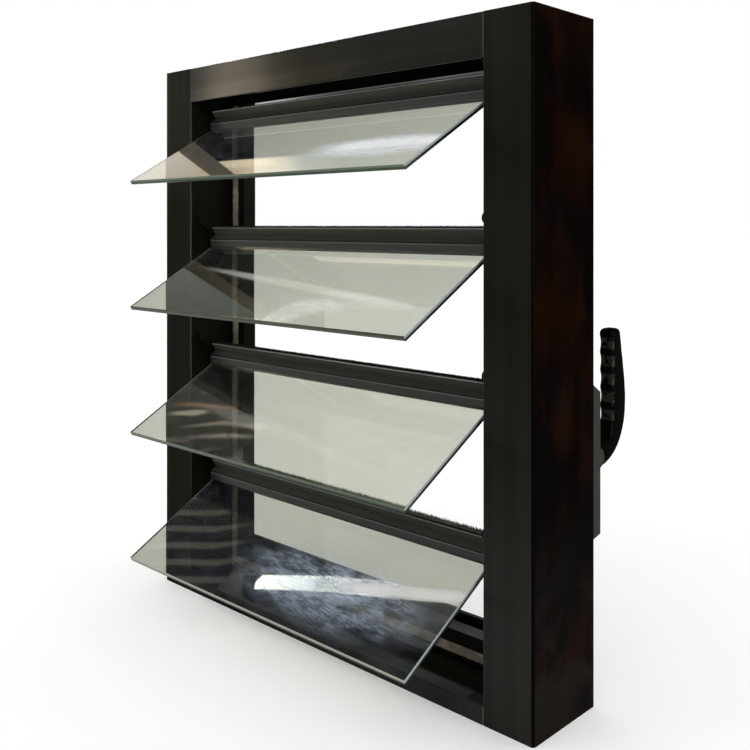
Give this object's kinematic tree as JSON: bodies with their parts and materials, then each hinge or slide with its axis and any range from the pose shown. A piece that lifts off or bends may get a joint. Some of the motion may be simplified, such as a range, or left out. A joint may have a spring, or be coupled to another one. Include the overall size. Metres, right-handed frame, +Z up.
{
  "type": "jalousie window",
  "caption": "Black framed jalousie window with tilting glass louvre blades in carrier rails, pile seals and a hooked pull lever on the room side.",
  "frame": {"origin": "middle of the sill's underside, halfway through the frame's depth", "axes": "+X along the width, to the right seen from outside; +Y into the room; +Z up"},
  "size_m": [0.564, 0.2844, 0.65],
  "materials": {
    "frame_black": "gloss black coating",
    "rail_black": "satin black coating",
    "blade_glass": "clear, polished edges",
    "gasket_rubber": "matte",
    "rail_pile": "woven pile",
    "frame_pile": "woven pile",
    "end_plate_black": "moulded",
    "bush_plastic": "moulded",
    "housing_black": "satin moulded",
    "lever_gloss": "gloss moulded",
    "pin_steel": "turned"
  },
  "bodies": {
    "frame": {"left_jamb": "frame_black", "right_jamb": "frame_black", "head": "frame_black", "sill": "frame_black", "left_jamb_pile": "frame_pile", "right_jamb_pile": "frame_pile", "sill_pile": "frame_pile", "left_pivot_bushes": "bush_plastic", "right_pivot_bushes": "bush_plastic", "handle_housing": "housing_black", "handle_pin": "pin_steel"},
    "lever": {"handle_lever": "lever_gloss"},
    "blade_1": {"blade_1_glass": "blade_glass", "blade_1_rail": "rail_black", "blade_1_gasket": "gasket_rubber", "blade_1_pile": "rail_pile", "blade_1_left_plate": "end_plate_black", "blade_1_right_plate": "end_plate_black"},
    "blade_2": {"blade_2_glass": "blade_glass", "blade_2_rail": "rail_black", "blade_2_gasket": "gasket_rubber", "blade_2_pile": "rail_pile", "blade_2_left_plate": "end_plate_black", "blade_2_right_plate": "end_plate_black"},
    "blade_3": {"blade_3_glass": "blade_glass", "blade_3_rail": "rail_black", "blade_3_gasket": "gasket_rubber", "blade_3_pile": "rail_pile", "blade_3_left_plate": "end_plate_black", "blade_3_right_plate": "end_plate_black"},
    "blade_4": {"blade_4_glass": "blade_glass", "blade_4_rail": "rail_black", "blade_4_gasket": "gasket_rubber", "blade_4_pile": "rail_pile", "blade_4_left_plate": "end_plate_black", "blade_4_right_plate": "end_plate_black"}
  },
  "joints": [
    {"name": "lever_pull", "type": "hinge", "parent": "frame", "child": "lever", "pos_m": [0.259, 0.084, 0.226], "axis": [-1, 0, 0], "range_deg": [0, 80]},
    {"name": "blade_1_tilt", "type": "hinge", "parent": "frame", "child": "blade_1", "pos_m": [0, -0.038, 0.608], "axis": [1, 0, 0], "range_deg": [0, 48]},
    {"name": "blade_2_tilt", "type": "hinge", "parent": "frame", "child": "blade_2", "pos_m": [0, -0.038, 0.462], "axis": [1, 0, 0], "range_deg": [0, 48]},
    {"name": "blade_3_tilt", "type": "hinge", "parent": "frame", "child": "blade_3", "pos_m": [0, -0.038, 0.316], "axis": [1, 0, 0], "range_deg": [0, 48]},
    {"name": "blade_4_tilt", "type": "hinge", "parent": "frame", "child": "blade_4", "pos_m": [0, -0.038, 0.17], "axis": [1, 0, 0], "range_deg": [0, 48]}
  ],
  "couplings": [
    {"joint": "blade_1_tilt", "follows": "lever_pull", "ratio": 0.6},
    {"joint": "blade_2_tilt", "follows": "lever_pull", "ratio": 0.6},
    {"joint": "blade_3_tilt", "follows": "lever_pull", "ratio": 0.6},
    {"joint": "blade_4_tilt", "follows": "lever_pull", "ratio": 0.6}
  ]
}
